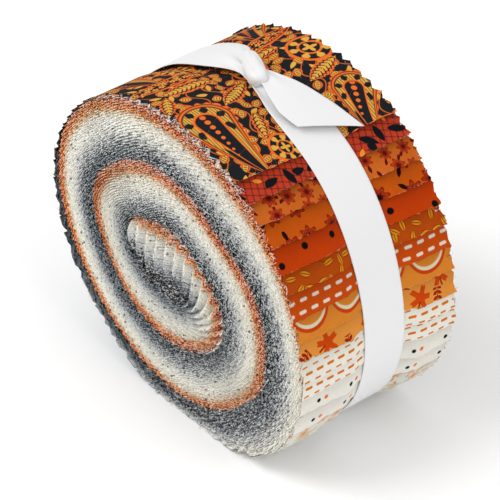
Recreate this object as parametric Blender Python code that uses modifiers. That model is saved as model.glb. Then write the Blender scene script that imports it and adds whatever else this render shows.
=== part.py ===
"""A roll of forty pinked quilting-cotton strips, each folded in half and laid in one stack,
wound as a flat spiral and tied round the middle with a satin ribbon.

The roll's axis runs along Y and the wound face that shows best is at -Y. It rests on its
rim, on a small flat spot at Z = 0, with the middle of its box over the origin.
Angles are degrees from +X towards +Z, seen from -Y. Tables are in millimetres."""

import math
import random

import bmesh
import bpy
from mathutils.geometry import delaunay_2d_cdt

MM = 0.001

# The roll
STRIP_WIDTH = 63.5  # 2 1/2 inches
STRIP_COUNT = 40
AXIS_HEIGHT = 53.0  # of the spiral's centre over the surface
CORNER = 1.4  # rounding of the rim where the cut edges begin
STRIP_STEP = 0.6  # height of the step at the end of a strip

# The ribbon
RIBBON_WIDTH = 15.9  # 5/8 inch
RIBBON_THICK = 1.0
RIBBON_Y = 3.3  # middle of the band
RIBBON_GAP = 0.35  # between the band and the cloth
WAIST = 1.75  # how far the band draws the rim in
WAIST_SLOPE = 6.5  # length of the slope from the rim down to the band
FLOOR_GAP = 0.4  # under the band, where the roll rests

# The rim's radius round the roll: angle, radius
RIM = (
    (0, 61.6),
    (15, 60.3),
    (30, 59.7),
    (49, 59.5),
    (58, 59.1),
    (75, 58.0),
    (90, 57.6),
    (104, 57.8),
    (120, 58.3),
    (135, 59.0),
    (150, 59.6),
    (165, 60.0),
    (180, 59.6),
    (195, 57.8),
    (210, 55.6),
    (225, 54.2),
    (240, 53.6),
    (255, 53.7),
    (270, 53.9),
    (285, 56.2),
    (300, 60.0),
    (315, 63.0),
    (330, 64.0),
    (344, 63.4),
    (352, 62.6),
)

# The strip ends that show, from the outermost strip on: angle, slant from edge to edge
SHOWN_ENDS = (
    (57.5, 1.5),
    (50.0, 2.0),
    (42.8, 3.0),
    (35.8, 2.4),
    (28.2, 2.0),
    (22.0, 2.3),
    (14.6, 1.0),
    (7.7, 1.2),
    (1.0, 3.6),
    (-5.3, 0.8),
    (-10.9, 1.6),
    (-17.6, 2.6),
    (-25.6, 1.0),
)
LAST_END = -202.5  # where the innermost strip ends, under all the others
END_WANDER = 0.8  # how far a hidden strip end may lie from its even place

# The line between one turn of the stack and the next, clockwise round the roll from
# START_ANGLE: degrees turned, radius
START_ANGLE = 141.0
TURN_LINE = (
    (0, 20.2),
    (16, 17.6),
    (40, 16.8),
    (70, 17.0),
    (90, 17.7),
    (105, 18.7),
    (120, 21.6),
    (133, 24.3),
    (146, 26.4),
    (158, 27.7),
    (171, 28.2),
    (186, 27.8),
    (200, 26.9),
    (222, 26.8),
    (244, 27.4),
    (257, 27.8),
    (270, 28.8),
    (284, 30.0),
    (298, 31.7),
    (309, 33.7),
    (321, 36.5),
    (330, 38.5),
    (339, 39.4),
    (349, 39.3),
    (360, 38.4),
    (376, 37.7),
    (400, 37.3),
    (430, 36.8),
    (449, 37.0),
    (461, 39.0),
    (471, 41.7),
    (480, 43.8),
    (490, 45.4),
    (507, 46.8),
    (524, 47.9),
    (542, 46.5),
    (563, 46.4),
    (590, 46.4),
    (611, 46.8),
    (630, 48.1),
    (645, 50.1),
    (658, 52.2),
    (670, 54.3),
    (681, 56.3),
    (690, 57.4),
    (698, 57.9),
)
TURN_STEP = 9  # degrees between points along that line

# The seam where the stack's first turn lies back against its start: x, z from the centre
CORE_SEAM = (
    (6.0, -6.4),
    (0.0, -6.5),
    (-6.0, -6.7),
    (-12.0, -6.1),
    (-17.0, -3.6),
    (-19.6, 0.5),
    (-20.1, 5.0),
    (-18.4, 9.5),
)

# Ridges of pinked teeth across the start of the stack, which lie in line there:
# inner end x and z, outer end in degrees turned
CORE_RIDGES = (
    (-14.6, -1.6, 16),
    (-11.2, -3.6, 31),
    (-7.5, -4.5, 46),
    (-3.4, -4.4, 61),
    (0.6, -4.0, 76),
    (3.4, -2.6, 90),
    (7.0, -1.6, 103),
    (10.6, -2.4, 117),
    (12.4, -4.0, 131),
    (13.2, -6.2, 146),
    (12.8, -8.6, 161),
    (11.4, -11.0, 177),
    (9.0, -13.2, 193),
    (6.0, -14.6, 208),
    (2.6, -15.2, 220),
)
TOOTH_DEPTH = 0.9
FURROW_DEPTH = 1.1  # of the furrow along the line between two turns
FURROW_HALF = 1.2
FACE_MARGIN = 1.6  # kept clear between a ridge and the line beside it

# The knot and the ribbon's free end on top of the roll
KNOT_ANGLE = 94.5
KNOT_Y = 2.2
KNOT_SIZE = (9.5, 12.0, 7.5)  # round the rim, along the axis, out from the rim
KNOT_ROUNDNESS = 2.6  # 2 is an ellipsoid, more is squarer
KNOT_FLARE = 0.25  # how much wider the wrap is at its two ends
KNOT_SLANT = 0.35  # how far those ends lie to either side
# The free end, from the knot on: angle, y of its middle, width, height over the rim
FREE_END = (
    (94.5, 2.4, 6.0, 3.4),
    (90.0, 3.0, 7.5, 3.6),
    (85.5, 3.9, 10.5, 2.4),
    (80.0, 5.2, 13.0, 1.5),
    (74.0, 6.7, 14.6, 1.2),
    (68.0, 8.0, 15.2, 1.3),
    (63.0, 9.0, 15.4, 1.9),
)
FREE_END_CUT = 5.0  # degrees by which the cut end slants


def remove_objects():
    for thing in list(bpy.data.objects):
        bpy.data.objects.remove(thing, do_unlink=True)


def make_collection(name):
    collection = bpy.data.collections.new(name)
    bpy.context.scene.collection.children.link(collection)
    return collection


def make_material(name, colour, roughness):
    material = bpy.data.materials.new(name)
    material.use_nodes = True
    shader = material.node_tree.nodes["Principled BSDF"]
    shader.inputs["Base Color"].default_value = (*colour, 1.0)
    shader.inputs["Roughness"].default_value = roughness
    shader.inputs["Metallic"].default_value = 0.0
    material.diffuse_color = (*colour, 1.0)
    return material


def make_object(name, mesh, material, collection):
    thing = bpy.data.objects.new(name, mesh)
    thing.data.materials.append(material)
    collection.objects.link(thing)
    return thing


def smooth_value(rows, place):
    """The table's value at a place: a smooth curve through its rows (first column the
    place, rising), held at both ends."""
    if place <= rows[0][0]:
        return rows[0][1]
    if place >= rows[-1][0]:
        return rows[-1][1]
    i = max(k for k in range(len(rows) - 1) if rows[k][0] <= place)
    x0, y0 = rows[i]
    x1, y1 = rows[i + 1]
    width = x1 - x0

    def slope(k):
        a = rows[max(k - 1, 0)]
        b = rows[min(k + 1, len(rows) - 1)]
        return (b[1] - a[1]) / (b[0] - a[0])

    t = (place - x0) / width
    return (
        (2 * t**3 - 3 * t**2 + 1) * y0
        + (t**3 - 2 * t**2 + t) * width * slope(i)
        + (3 * t**2 - 2 * t**3) * y1
        + (t**3 - t**2) * width * slope(i + 1)
    )


# The same table three times over, so that a curve through it has no end
RIM_ROUND = tuple((a + turn, r) for turn in (-360, 0, 360) for a, r in RIM)


def rim_radius(angle):
    return smooth_value(RIM_ROUND, angle % 360)


def polar(angle, radius):
    """X and Z from the spiral's centre, in millimetres."""
    return (
        radius * math.cos(math.radians(angle)),
        radius * math.sin(math.radians(angle)),
    )


def strip_ends():
    """Angle and slant of every strip's end, clockwise from the outermost strip's."""
    rng = random.Random(40)
    ends = list(SHOWN_ENDS)
    last_shown = ends[-1][0]
    hidden = STRIP_COUNT - len(ends)
    for k in range(1, hidden + 1):
        even = last_shown + (LAST_END - last_shown) * k / hidden
        wander = END_WANDER if k < hidden else 0.0
        ends.append((even + rng.uniform(-wander, wander), rng.uniform(0.0, 2.5)))
    return ends


def rim_points():
    """The points round the rim: angle, slant and height of each, in units of a strip's
    step. The rim drops by one step at each end, going clockwise."""
    ends = strip_ends()
    points = []
    for k, (angle, slant) in enumerate(ends):
        points.append((angle + 0.15, slant, 0.5))
        points.append((angle - 0.15, slant, -0.5))
        if k + 1 < len(ends):
            following, next_slant = ends[k + 1]
            points.append(((angle + following) / 2, (slant + next_slant) / 2, 0.0))
    # The outermost strip has no end between the innermost strip's end and its own.
    first = ends[0][0] - 360
    last = ends[-1][0]
    pieces = 16
    for k in range(1, pieces):
        share = k / pieces
        points.append((last + (first - last) * share, 0.0, share - 0.5))
    return points


def rim_rows():
    """The cross-sections from face to face: y, share of the steps, drop below the rim."""
    half = STRIP_WIDTH / 2
    corner = [
        (half - CORNER * (1 - math.sin(t)), 1.0, CORNER * (1 - math.cos(t)))
        for t in (0.0, math.radians(50), math.radians(90))
    ]
    band = RIBBON_WIDTH / 2 + RIBBON_GAP
    low = RIBBON_Y - band
    high = RIBBON_Y + band
    rows = [(-y, share, drop) for y, share, drop in reversed(corner)]
    rows += [
        (low - WAIST_SLOPE, 1.0, 0.0),
        (low - WAIST_SLOPE * 0.35, 0.8, WAIST * 0.25),
        (low, 0.0, WAIST),
        (high, 0.0, WAIST),
        (high + WAIST_SLOPE * 0.35, 0.8, WAIST * 0.25),
        (high + WAIST_SLOPE, 1.0, 0.0),
    ]
    return rows + corner


def section(points, row):
    """X and Z of the rim's points in one cross-section, flat where the roll rests."""
    y, share, drop = row
    lowest = -AXIS_HEIGHT
    if drop >= WAIST:
        lowest += WAIST + FLOOR_GAP
    elif share < 1.0:
        lowest += drop
    places = []
    for angle, slant, height in points:
        turned = angle - slant * y / STRIP_WIDTH
        x, z = polar(turned, rim_radius(turned) - drop + height * STRIP_STEP * share)
        places.append((x, max(z, lowest)))
    return places


def turn_line_point(turned):
    return polar(START_ANGLE - turned, smooth_value(TURN_LINE, turned))


def furrow_line():
    """The middle of the furrow: along the core's seam, then round between the turns."""
    line = list(CORE_SEAM)
    last = TURN_LINE[-1][0]
    steps = round(last / TURN_STEP)
    line += [turn_line_point(last * k / steps) for k in range(steps + 1)]
    return line


def beside(line, distance):
    """The line moved sideways, drawn back to it at both ends."""
    moved = []
    for k, (x, z) in enumerate(line):
        x0, z0 = line[max(k - 1, 0)]
        x1, z1 = line[min(k + 1, len(line) - 1)]
        length = math.hypot(x1 - x0, z1 - z0)
        from_end = min(k, len(line) - 1 - k)
        width = distance * min(1.0, 0.3 + 0.35 * from_end)
        moved.append((x - (z1 - z0) / length * width, z + (x1 - x0) / length * width))
    return moved


def ridge_lines():
    """Crests and troughs of the teeth across the start of the stack, with their depths."""
    lines = []
    for k, (x, z, turned) in enumerate(CORE_RIDGES):
        depth = 0.0 if k % 2 else TOOTH_DEPTH
        far_x, far_z = turn_line_point(turned)
        reach = 1 - (FURROW_HALF + FACE_MARGIN) / math.hypot(far_x - x, far_z - z)
        places = [
            (x + (far_x - x) * t, z + (far_z - z) * t) for t in (0.0, reach / 2, reach)
        ]
        lines.append((places, depth))
    return lines


def face_plan(outline):
    """The wound face as triangles: places, depth below the cut edges, and faces. The
    outline's points come first."""
    places = list(outline)
    depths = [0.0] * len(places)
    edges = []

    def add_line(points, depth):
        first = len(places)
        places.extend(points)
        depths.extend([depth] * len(points))
        edges.extend((first + k, first + k + 1) for k in range(len(points) - 1))

    middle = furrow_line()
    add_line(middle, FURROW_DEPTH)
    add_line(beside(middle, FURROW_HALF), 0.0)
    add_line(beside(middle, -FURROW_HALF), 0.0)
    for points, depth in ridge_lines():
        add_line(points, depth)
    border = [list(range(len(outline)))]
    verts, _, faces, sources, *_ = delaunay_2d_cdt(places, edges, border, 1, 1e-5)
    if len(verts) != len(places):
        raise ValueError("two lines of the wound face cross")
    order = [source[0] for source in sources]
    return places, depths, [[order[k] for k in face] for face in faces]


def centre_offset(points):
    """How far along X the spiral's centre lies from the middle of the roll's box."""
    xs = [x for row in rim_rows() for x, _ in section(points, row)]
    return -(min(xs) + max(xs)) / 2


def to_world(x, y, z, offset):
    return ((x + offset) * MM, y * MM, (z + AXIS_HEIGHT) * MM)


def make_roll(material, collection):
    """One closed loft from face to face, with the wound faces as its ends."""
    points = rim_points()
    offset = centre_offset(points)
    rows = rim_rows()
    bm = bmesh.new()
    rings = []
    for row in rows:
        ring = [
            bm.verts.new(to_world(x, row[0], z, offset)) for x, z in section(points, row)
        ]
        rings.append(ring)
    count = len(points)
    for ring, following in zip(rings, rings[1:]):
        for k in range(count):
            n = (k + 1) % count
            bm.faces.new((ring[k], ring[n], following[n], following[k]))
    for ring, row, side in ((rings[0], rows[0], 1), (rings[-1], rows[-1], -1)):
        places, depths, faces = face_plan(section(points, row))
        verts = list(ring)
        for (x, z), depth in zip(places[count:], depths[count:]):
            verts.append(bm.verts.new(to_world(x, row[0] + side * depth, z, offset)))
        for face in faces:
            bm.faces.new([verts[k] for k in face])
    bmesh.ops.recalc_face_normals(bm, faces=bm.faces)
    mesh = bpy.data.meshes.new("fabric_roll")
    bm.to_mesh(mesh)
    bm.free()
    mesh.shade_smooth()
    mesh.set_sharp_from_angle(angle=math.radians(35))
    return make_object("fabric_roll", mesh, material, collection)


def strip_sheet(name, rings, closed, material, collection):
    """An open or closed strip of ribbon from its cross rows, given its thickness."""
    bm = bmesh.new()
    grid = [[bm.verts.new(place) for place in ring] for ring in rings]
    pairs = list(zip(grid, grid[1:]))
    if closed:
        pairs.append((grid[-1], grid[0]))
    for ring, following in pairs:
        for k in range(len(ring) - 1):
            bm.faces.new((ring[k], ring[k + 1], following[k + 1], following[k]))
    mesh = bpy.data.meshes.new(name)
    bm.to_mesh(mesh)
    bm.free()
    thing = make_object(name, mesh, material, collection)
    thickness = thing.modifiers.new("thickness", "SOLIDIFY")
    thickness.thickness = RIBBON_THICK * MM
    thickness.offset = 0.0
    thickness.use_even_offset = True
    return thing


def band_rings(offset):
    """The band's middle surface: drawn together and pleated near the knot."""
    steps = 90
    across = 6
    rings = []
    for k in range(steps):
        angle = 360 * k / steps
        away = abs((angle - KNOT_ANGLE + 180) % 360 - 180)
        gather = math.exp(-((away / 11) ** 2))
        width = RIBBON_WIDTH * (1 - 0.52 * gather)
        middle = RIBBON_Y + (KNOT_Y - RIBBON_Y) * gather
        radius = rim_radius(angle) - WAIST + RIBBON_GAP + RIBBON_THICK / 2
        lowest = FLOOR_GAP + RIBBON_THICK / 2 - AXIS_HEIGHT
        ring = []
        for j in range(across + 1):
            pleat = gather * (0.5 - 0.5 * math.cos(math.pi * j))
            x, z = polar(angle, radius + pleat)
            y = middle + width * (j / across - 0.5)
            ring.append(to_world(x, y, max(z, lowest), offset))
        rings.append(ring)
    return rings


def free_end_rings(offset):
    """The free end's middle surface, lying over the rim and cut off at a slant."""
    across = 4
    columns = [[(row[0], row[k]) for row in reversed(FREE_END)] for k in (1, 2, 3)]
    start = FREE_END[0][0]
    stop = FREE_END[-1][0]
    steps = 14
    rings = []
    for k in range(steps + 1):
        share = k / steps
        ring = []
        for j in range(across + 1):
            side = j / across - 0.5
            angle = start + (stop + FREE_END_CUT * side * share - start) * share
            middle, width, height = (smooth_value(rows, angle) for rows in columns)
            cup = 0.5 * (1 - 4 * side * side)
            x, z = polar(angle, rim_radius(angle) + height + cup)
            ring.append(to_world(x, middle + side * width, z, offset))
        rings.append(ring)
    return rings


def make_knot(offset, material, collection):
    """The knot's wrapped lump: a box with rounded corners, waisted and lying at a slant."""
    round_rim, along, out = KNOT_SIZE
    bm = bmesh.new()
    bmesh.ops.create_cube(bm, size=2.0)
    bmesh.ops.subdivide_edges(bm, edges=bm.edges, cuts=3, use_grid_fill=True)
    radius = rim_radius(KNOT_ANGLE) - WAIST + RIBBON_GAP + out / 2
    for vert in bm.verts:
        squareness = sum(abs(c) ** KNOT_ROUNDNESS for c in vert.co) ** (1 / KNOT_ROUNDNESS)
        u, v, w = vert.co / squareness
        u = u * (1 + KNOT_FLARE * v * v) + KNOT_SLANT * v
        angle = KNOT_ANGLE - math.degrees(u * round_rim / 2 / radius)
        x, z = polar(angle, radius + w * out / 2)
        vert.co = to_world(x, KNOT_Y + v * along / 2, z, offset)
    bmesh.ops.recalc_face_normals(bm, faces=bm.faces)
    mesh = bpy.data.meshes.new("ribbon_knot")
    bm.to_mesh(mesh)
    bm.free()
    thing = make_object("ribbon_knot", mesh, material, collection)
    rounding = thing.modifiers.new("rounding", "SUBSURF")
    rounding.levels = 1
    rounding.render_levels = 1
    return thing


def unite(target, pieces):
    """Joins hidden pieces to the target with Boolean unions."""
    for piece in pieces:
        piece.hide_render = True
        piece.display_type = "WIRE"
        union = target.modifiers.new("join " + piece.name, "BOOLEAN")
        union.operation = "UNION"
        union.object = piece


def main():
    remove_objects()
    parts = make_collection("fabric strip roll")
    joined = make_collection("joined pieces")
    cotton = make_material("quilting cotton", (0.76, 0.36, 0.14), 0.9)
    satin = make_material("white satin ribbon", (0.93, 0.93, 0.92), 0.4)
    make_roll(cotton, parts)
    offset = centre_offset(rim_points())
    ribbon = strip_sheet("ribbon_tie", band_rings(offset), True, satin, parts)
    free_end = strip_sheet("free_end", free_end_rings(offset), False, satin, joined)
    knot = make_knot(offset, satin, joined)
    unite(ribbon, (knot, free_end))


main()
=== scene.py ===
"""The looks of the fabric strip roll: eighty plies with pinked edges wound in a spiral, the
printed strips whose ends are fanned round the rim, and the satin ribbon tied round them.

Lengths are millimetres until a mesh is made, and metres from there on. Angles are degrees
from +X towards +Z, seen from the wound face at -Y. "Turned" is degrees clockwise round
the spiral from START_ANGLE, so it grows from the core outwards."""

import math
import random
from functools import partialmethod

import bpy
import numpy as np
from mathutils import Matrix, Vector


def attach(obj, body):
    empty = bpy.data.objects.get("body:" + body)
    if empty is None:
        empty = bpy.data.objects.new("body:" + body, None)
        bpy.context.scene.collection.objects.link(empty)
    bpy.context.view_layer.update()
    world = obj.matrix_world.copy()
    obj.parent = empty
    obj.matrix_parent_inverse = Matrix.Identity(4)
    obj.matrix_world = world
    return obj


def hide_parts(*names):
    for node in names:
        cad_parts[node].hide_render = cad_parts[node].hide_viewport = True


MM = 0.001
seeded = np.random.default_rng

# The camera, fitted to the photograph: degrees, and millimetres from the row's origin
CAMERA_AZIMUTH = 50.41
CAMERA_ELEVATION = 37.05
CAMERA_DISTANCE = 880.7
CAMERA_AIM = (3.26, -2.58, 50.48)
CAMERA_LENS = 202.8
CAMERA_SENSOR = 36.0

# The roll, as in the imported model
STRIP_WIDTH = 63.5
HALF_WIDTH = STRIP_WIDTH / 2
STRIP_COUNT = 40
PLIES = 2 * STRIP_COUNT
AXIS_X = -1.15
AXIS_HEIGHT = 53.0
STRIP_STEP = 0.6  # by which the rim widens from its start to the outermost strip's end
WAIST = 1.25  # how deep the ribbon draws the rim in
WAIST_SLOPE = 6.5  # how wide the slope to that is on either side

# The plies and their pinked edges
PLY_SHARE = 0.84  # of its place in the stack that a ply fills
PLY_STRAY = 0.22  # of a ply's place by which its points stray, past the core
STRAY_TURNED = (250.0, 420.0)
FLANK = 2.9  # how deep a ply's sides are modelled
TOOTH_PITCH = 4.7
TOOTH_DEPTH = 2.0
TOOTH_EVEN = (0.84, 1.06)  # of that depth that single teeth have
TOOTH_STRAY = (0.14, 0.06, 0.07)  # of the teeth's places by strip, by ply and by tooth
NOTCH_STRAY = 0.2  # how far points and notches lie further back at most
FAR_TEETH = 0.75  # of the teeth's depth on the far side
PRESSED = 0.4  # of it that is lost where the roll has lain
PRESSED_TURNED = (800.0, 880.0)
EDGE_BACK = (0.05, 0.35)  # how far back from the wound face a strip's points lie
EDGE_UNEVEN = 0.16  # how far they wander from that along the strip, in slow waves
EDGE_WAVE = 37.0
END_BACK = 0.8  # how far back a ply's edge lies at both its ends
END_CLEAR = 0.4  # how far from those its first and last teeth stay
SLIP = 0.41  # by which a ply's teeth fall behind those of the ply under it, in a turn
SLIP_TURNED = (216.0, 560.0)
LOOSE_SLIP = 0.9  # by which single plies slide about in the last turn
LOOSE_TURNED = (590.0, 720.0)

# The wound faces' flecks and shade
CORE_TURNED = (150.0, 330.0)  # between which what is said of the core here fades out
INNERMOST = (30, 36)  # from which strips on what is said of the innermost holds
CALM_INWARD = 0.5  # by which the flecks are weaker inwards in the core, up to the innermost
CALM_LEFT = 0.3  # by which the flecks are weaker at the left
CALM_ANGLE = 215.0
CALM_LAST = 0.4  # by which they are weaker, and the cloth darker, where the stack ends
DARK_LAST = 0.3
LAST_TURNED = (920.0, 990.0)
DARK_CORE = 0.35  # by which the innermost strips are darker in the core
PAINTED_FLANK_SHADE = 0.12  # painted shade on the teeth's flanks that face right, away from the light, in the core
TOOTH_TONES = (0.72, 1.18)  # between which the tone of single teeth lies

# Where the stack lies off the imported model's lines
START_BULGE = 2.7  # of its folded start, to the left
START_BULGE_TURNED = 12.0
SETTLE = (-0.9, -0.9)  # how far right and up the inner lines sit
SETTLE_FADE = (0.68, 0.97)  # shares of the rim's radius between which that fades out
UNEVEN = 0.1  # how far the lines wander
UNEVEN_RISE = (4.0, 14.0)  # radii between which that sets in
UNEVEN_FADE = (0.85, 0.96)  # shares of the rim's radius between which it fades out

# The ribbon
RIBBON_WIDTH = 15.9
RIBBON_THICK = 0.25
RIBBON_Y = 3.3
BAND_EDGE = RIBBON_WIDTH / 2 + 0.3

# The rim's radius round the roll: angle, radius
RIM = (
    (0, 61.6), (15, 60.3), (30, 59.7), (49, 59.5), (58, 59.1), (75, 58.0),
    (90, 57.6), (104, 57.8), (120, 58.3), (135, 59.0), (150, 59.6), (165, 60.0),
    (180, 59.6), (195, 57.8), (210, 55.6), (225, 54.2), (240, 53.6), (255, 53.7),
    (270, 53.9), (285, 56.2), (300, 60.0), (315, 63.0), (330, 64.0), (344, 63.4),
    (352, 62.6),
)

# The strip ends that show, from the outermost strip on: angle, slant from edge to edge
SHOWN_ENDS = (
    (57.5, 1.5), (50.0, 2.0), (42.8, 3.0), (35.8, 2.4), (28.2, 2.0),
    (22.0, 2.3), (14.6, 1.0), (7.7, 1.2), (1.0, 3.6), (-5.3, 0.8),
    (-10.9, 1.6), (-17.6, 2.6), (-25.6, 1.0),
)
LAST_END = -202.5
END_WANDER = 0.8

# The line between one turn of the stack and the next: turned, radius
START_ANGLE = 141.0
FULL_TURN = 360.0
TURN_LINE = (
    (0, 20.2), (16, 17.6), (40, 16.8), (70, 17.0), (90, 17.7), (105, 18.7),
    (120, 21.6), (133, 24.3), (146, 26.4), (158, 27.7), (171, 28.2), (186, 27.8),
    (200, 26.9), (222, 26.8), (244, 27.4), (257, 27.8), (270, 28.8), (284, 30.0),
    (298, 31.7), (309, 33.7), (321, 36.5), (330, 38.5), (339, 39.4), (349, 39.3),
    (360, 38.4), (376, 37.7), (400, 37.3), (430, 36.8), (449, 37.0), (461, 39.0),
    (471, 41.7), (480, 43.8), (490, 45.4), (507, 46.8), (524, 47.9), (542, 46.5),
    (563, 46.4), (590, 46.4), (611, 46.8), (630, 48.1), (645, 50.1), (658, 52.2),
    (670, 54.3), (681, 56.4), (692, 58.2), (703, 59.4),
)
RIM_REACHED = 703.5  # turned, where the stack's outer side comes to lie on the rim

# The inner side of the stack's first turn, from its start at the left of the core, round
# the point where it doubles back, and up over its own start: turned, x, z
CORE_LINE = (
    (0, -19.0, -1.0), (16, -14.0, -4.3), (29, -10.0, -5.8), (41, -5.0, -6.1),
    (53, 0.0, -6.0), (71, 4.0, -5.8), (96, 6.0, -6.1), (126, 6.4, -6.5),
    (156, 6.2, -6.9), (191, 5.4, -7.2), (216, 3.0, -7.2), (234, -2.0, -7.2),
    (248, -8.0, -7.1), (263, -13.0, -6.3), (279, -17.0, -4.5), (296, -19.5, -1.6),
    (313, -20.4, 2.0), (330, -20.4, 6.0), (341, -18.9, 9.6), (353, -15.5, 12.7),
    (372, -10.9, 14.3), (385, -7.6, 15.5), (400, -3.2, 16.5),
)

# The shades of the plies' edges through the stack: strip, printed side, wrong side, cut
# edge, and how strongly the threads are flecked
EDGE_SHADES = (
    (1, "3a1d14 d8c0b0 f0e6dd", 0.95), (2, "8e220a cc6030 f0b088", 1.00),
    (4, "982604 cc5820 f29c60", 0.98), (8, "d0661f e08840 f4b478", 0.90),
    (11, "e2cfb0 e5d6be eadcca", 0.60), (14, "e7e1d2 e8e2d5 ede8dd", 0.40),
    (18, "e7e4d6 e7e4d8 edeae1", 0.35), (23, "cbcdc7 d2d3cd e1e1dc", 0.60),
    (27, "93979a b0b3b3 d2d3d1", 0.90), (31, "434b54 69727a a2a9ac", 1.00),
    (36, "151b22 414a53 777f85", 1.00), (40, "12181e 3a434c 727a80", 1.00),
)
RIM_SHADE = "12161c"  # of the outermost strip's plies where their printed side shows through
RIM_SHADE_TURNED = (680.0, 700.0, 722.0, 742.0)
RIM_PALE = "dcd4d0"  # of their wrong side and cut edge, further on
RIM_PALE_TURNED = (724.0, 744.0, 750.0, 780.0)
RAW_WHITE = "e9e7e1"

# How far those shades sit from their strips, in strips, and their tone: turned, shift at
# the outermost strip, shift at the innermost, tone. The tone is partly painted light, making
# parts of the face brighter or darker as the light falls on them, and partly the cloth's own colour
SHADE_SHIFTS = (
    (0, 1.6, -5.0, 1.12), (60, 0.4, -2.0, 1.06), (100, -0.4, 1.0, 1.00),
    (160, -0.8, -2.0, 1.05), (220, 1.4, 1.0, 1.02), (290, 4.8, -5.8, 1.03),
    (380, 1.0, -3.4, 1.12), (460, 0.8, -2.2, 1.10), (530, 2.8, -1.2, 1.18),
    (600, 5.0, 0.0, 1.05), (670, 4.0, 2.2, 1.18), (730, 1.0, -2.8, 1.28),
    (780, -1.0, -3.0, 1.06), (830, 0.4, -1.2, 1.10), (890, 1.6, 3.2, 1.10),
    (950, -4.0, 4.6, 1.02), (1000, -11.0, 1.0, 1.20), (1030, -6.0, 1.0, 0.72),
    (1060, 0.0, 1.0, 0.55),
)


def curve(rows, places):
    """Smooth curves through a table's rows, its first column the place and the others the
    values, held at both ends: one row of values for each place."""
    table = np.array(rows, float)
    x = table[:, 0]
    y = table[:, 1:]
    back = np.maximum(np.arange(len(x)) - 1, 0)
    ahead = np.minimum(np.arange(len(x)) + 1, len(x) - 1)
    slope = (y[ahead] - y[back]) / (x[ahead] - x[back])[:, None]
    places = np.clip(np.asarray(places, float), x[0], x[-1])
    i = np.clip(np.searchsorted(x, places, "right") - 1, 0, len(x) - 2)
    width = (x[i + 1] - x[i])[..., None]
    t = (places - x[i])[..., None] / width
    return (
        (2 * t**3 - 3 * t**2 + 1) * y[i]
        + (t**3 - 2 * t**2 + t) * width * slope[i]
        + (3 * t**2 - 2 * t**3) * y[i + 1]
        + (t**3 - t**2) * width * slope[i + 1]
    )


def ramp(values, low, high):
    """From 0 at low to 1 at high, with soft ends."""
    t = np.clip((np.asarray(values, float) - low) / (high - low), 0, 1)
    return t * t * (3 - 2 * t)


def hump(values, low, rise, fall, high):
    """From 0 at low to 1 between rise and fall, and back to 0 at high."""
    return ramp(values, low, rise) * (1 - ramp(values, fall, high))


def bell(values, half):
    """1 at zero, dying away on both sides."""
    return np.exp(-((values / half) ** 2))


RIM_ROUND = tuple((a + turn, r) for turn in (-360, 0, 360) for a, r in RIM)


def rim_radius(angle):
    return curve(RIM_ROUND, np.asarray(angle, float) % 360)[..., 0]


def polar(angle, radius):
    """X and Z from the spiral's centre."""
    turn = np.radians(angle)
    return np.stack([radius * np.cos(turn), radius * np.sin(turn)], axis=-1)


def strip_ends():
    """Angle and slant of every strip's end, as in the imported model."""
    draws = random.Random(40)
    ends = list(SHOWN_ENDS)
    last_shown = ends[-1][0]
    hidden = STRIP_COUNT - len(ends)
    for k in range(1, hidden + 1):
        even = last_shown + (LAST_END - last_shown) * k / hidden
        wander = END_WANDER if k < hidden else 0.0
        ends.append((even + draws.uniform(-wander, wander), draws.uniform(0.0, 2.5)))
    return ends


ENDS = strip_ends()


def end_turned(y):
    """Where each strip ends at a place along the axis, in degrees turned."""
    angles = np.array([angle - slant * y / STRIP_WIDTH for angle, slant in ENDS])
    return START_ANGLE + 2 * FULL_TURN - angles


def settled(place):
    """The spiral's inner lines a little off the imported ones, and slightly uneven."""
    x, z = place[..., 0], place[..., 1]
    radius = np.maximum(np.hypot(x, z), 1e-6)
    from_rim = radius / rim_radius(np.degrees(np.arctan2(z, x)))
    inner = 1 - ramp(from_rim, *SETTLE_FADE)
    across = np.sin(0.31 * x + 0.6) * np.sin(0.27 * z + 1.1)
    across += 0.6 * np.sin(0.83 * x - 0.42 * z) + 0.5 * np.sin(0.55 * x + 0.97 * z + 2.0)
    across *= UNEVEN * ramp(radius, *UNEVEN_RISE) * (1 - ramp(from_rim, *UNEVEN_FADE))
    return place * (1 + across / radius)[..., None] + inner[..., None] * np.array(SETTLE)


def inner_side(turned):
    """The inner side of the stack."""
    core = curve(CORE_LINE, turned)
    line = curve(TURN_LINE, turned - FULL_TURN)[..., 0]
    later = polar(START_ANGLE - turned, line)
    return np.where((turned < CORE_LINE[-1][0])[..., None], core, later)


def outer_side(turned, ends):
    """The outer side of the stack: the next turn's line, then the rim."""
    angle = START_ANGLE - turned
    inside = curve(TURN_LINE, turned)[..., 0]
    rise = np.clip((turned - RIM_REACHED) / (ends[0] - RIM_REACHED), 0, 1) - 0.5
    on_rim = rim_radius(angle) + STRIP_STEP * rise
    place = polar(angle, np.where(turned < RIM_REACHED, inside, on_rim))
    place[..., 1] = np.maximum(place[..., 1], -AXIS_HEIGHT)
    return place


def stack_left(turned, ends):
    """The share of the stack that still runs on, as its strips end one after another."""
    shares = 1 - np.arange(STRIP_COUNT) / STRIP_COUNT
    return np.interp(turned, ends, shares)


def stack_place(turned, share, ends):
    """X and Z of the line at that share of the stack's thickness, 0 its inner side."""
    inner = inner_side(turned)
    outer = outer_side(turned, ends)
    across = np.clip(share / stack_left(turned, ends), 0, 1)
    bulge = START_BULGE * (1 - ramp(turned, 0, START_BULGE_TURNED))
    left = -4 * bulge * across * (1 - across)
    place = inner + (outer - inner) * across[..., None]
    place[..., 0] += left
    return settled(place)


def to_world(xz, y):
    """Points in metres from X and Z about the spiral's centre and Y."""
    xz = np.asarray(xz, float)
    y = np.broadcast_to(np.asarray(y, float), xz.shape[:-1])
    return np.stack([xz[..., 0] + AXIS_X, y, xz[..., 1] + AXIS_HEIGHT], axis=-1) * MM


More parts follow.
